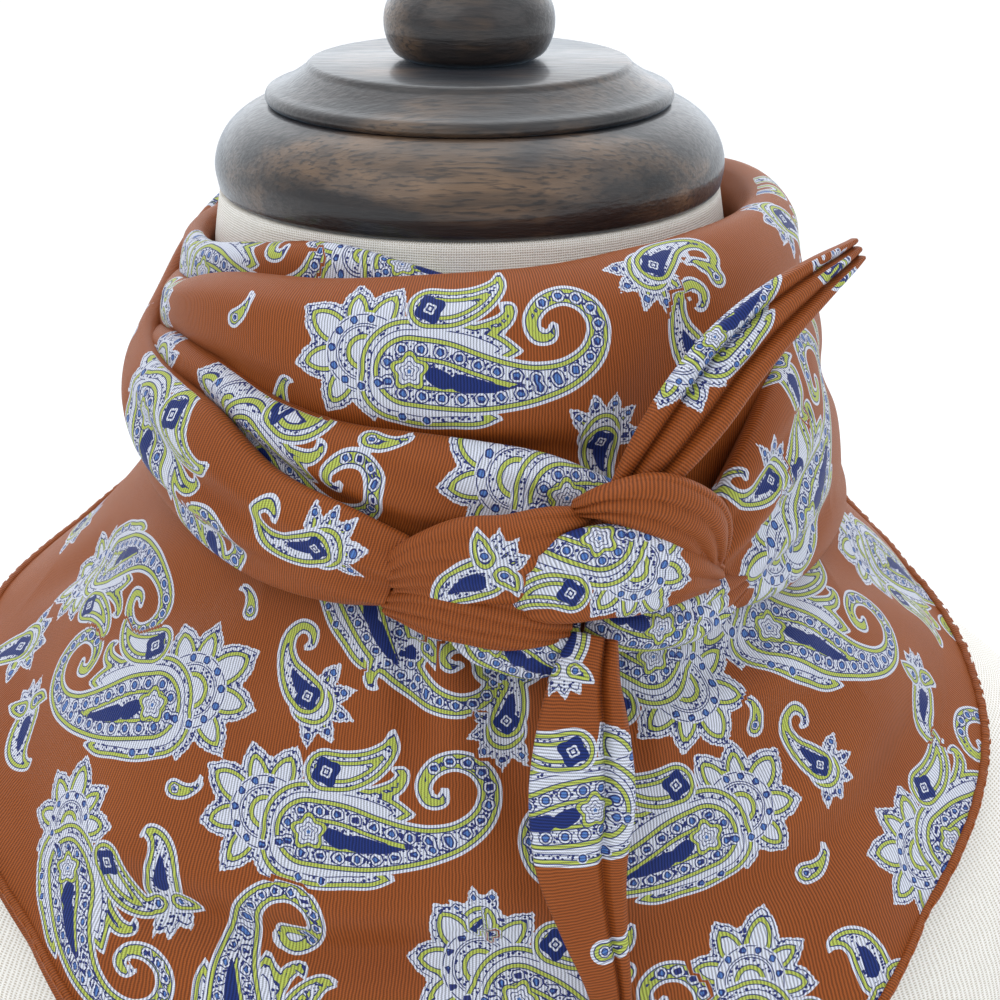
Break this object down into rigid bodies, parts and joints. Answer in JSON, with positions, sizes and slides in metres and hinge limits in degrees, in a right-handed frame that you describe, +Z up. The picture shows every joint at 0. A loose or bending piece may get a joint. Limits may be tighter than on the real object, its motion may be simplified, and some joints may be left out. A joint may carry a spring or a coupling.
{
  "type": "silk bandana tied on a tabletop dress form",
  "caption": "Paisley silk bandana wound round the neck of a linen bust form, its ends tied in a square knot in front over a bib.",
  "frame": {"origin": "on the table, under the axis of the form's neck, at the middle of the plinth's underside", "axes": "+Z up along the neck, -Y towards the front of the form where the knot is, +X to the right as seen from the front"},
  "size_m": [0.32, 0.234, 0.3974],
  "materials": {
    "silk_print": "printed silk twill, soft sheen",
    "silk_hem": "hand-rolled silk hem",
    "linen": "natural linen, matt",
    "stained_wood": "dark stained, satin, worn grain"
  },
  "bodies": {
    "root": {"plinth": "stained_wood", "linen_body": "linen", "neck_cap": "stained_wood", "cap_step": "stained_wood", "finial": "stained_wood", "inner_roll": "silk_print", "front_band": "silk_print", "left_fold": "silk_print", "left_wrap": "silk_print", "right_wrap": "silk_print", "bib": "silk_print", "bib_under": "silk_print", "hem_left": "silk_hem", "hem_right": "silk_hem", "knot_top": "silk_print", "knot_front": "silk_print", "knot_main": "silk_print", "knot_left": "silk_print", "knot_lower": "silk_print", "knot_right": "silk_print", "tail_up": "silk_print", "tail_down": "silk_print"}
  },
  "joints": []
}
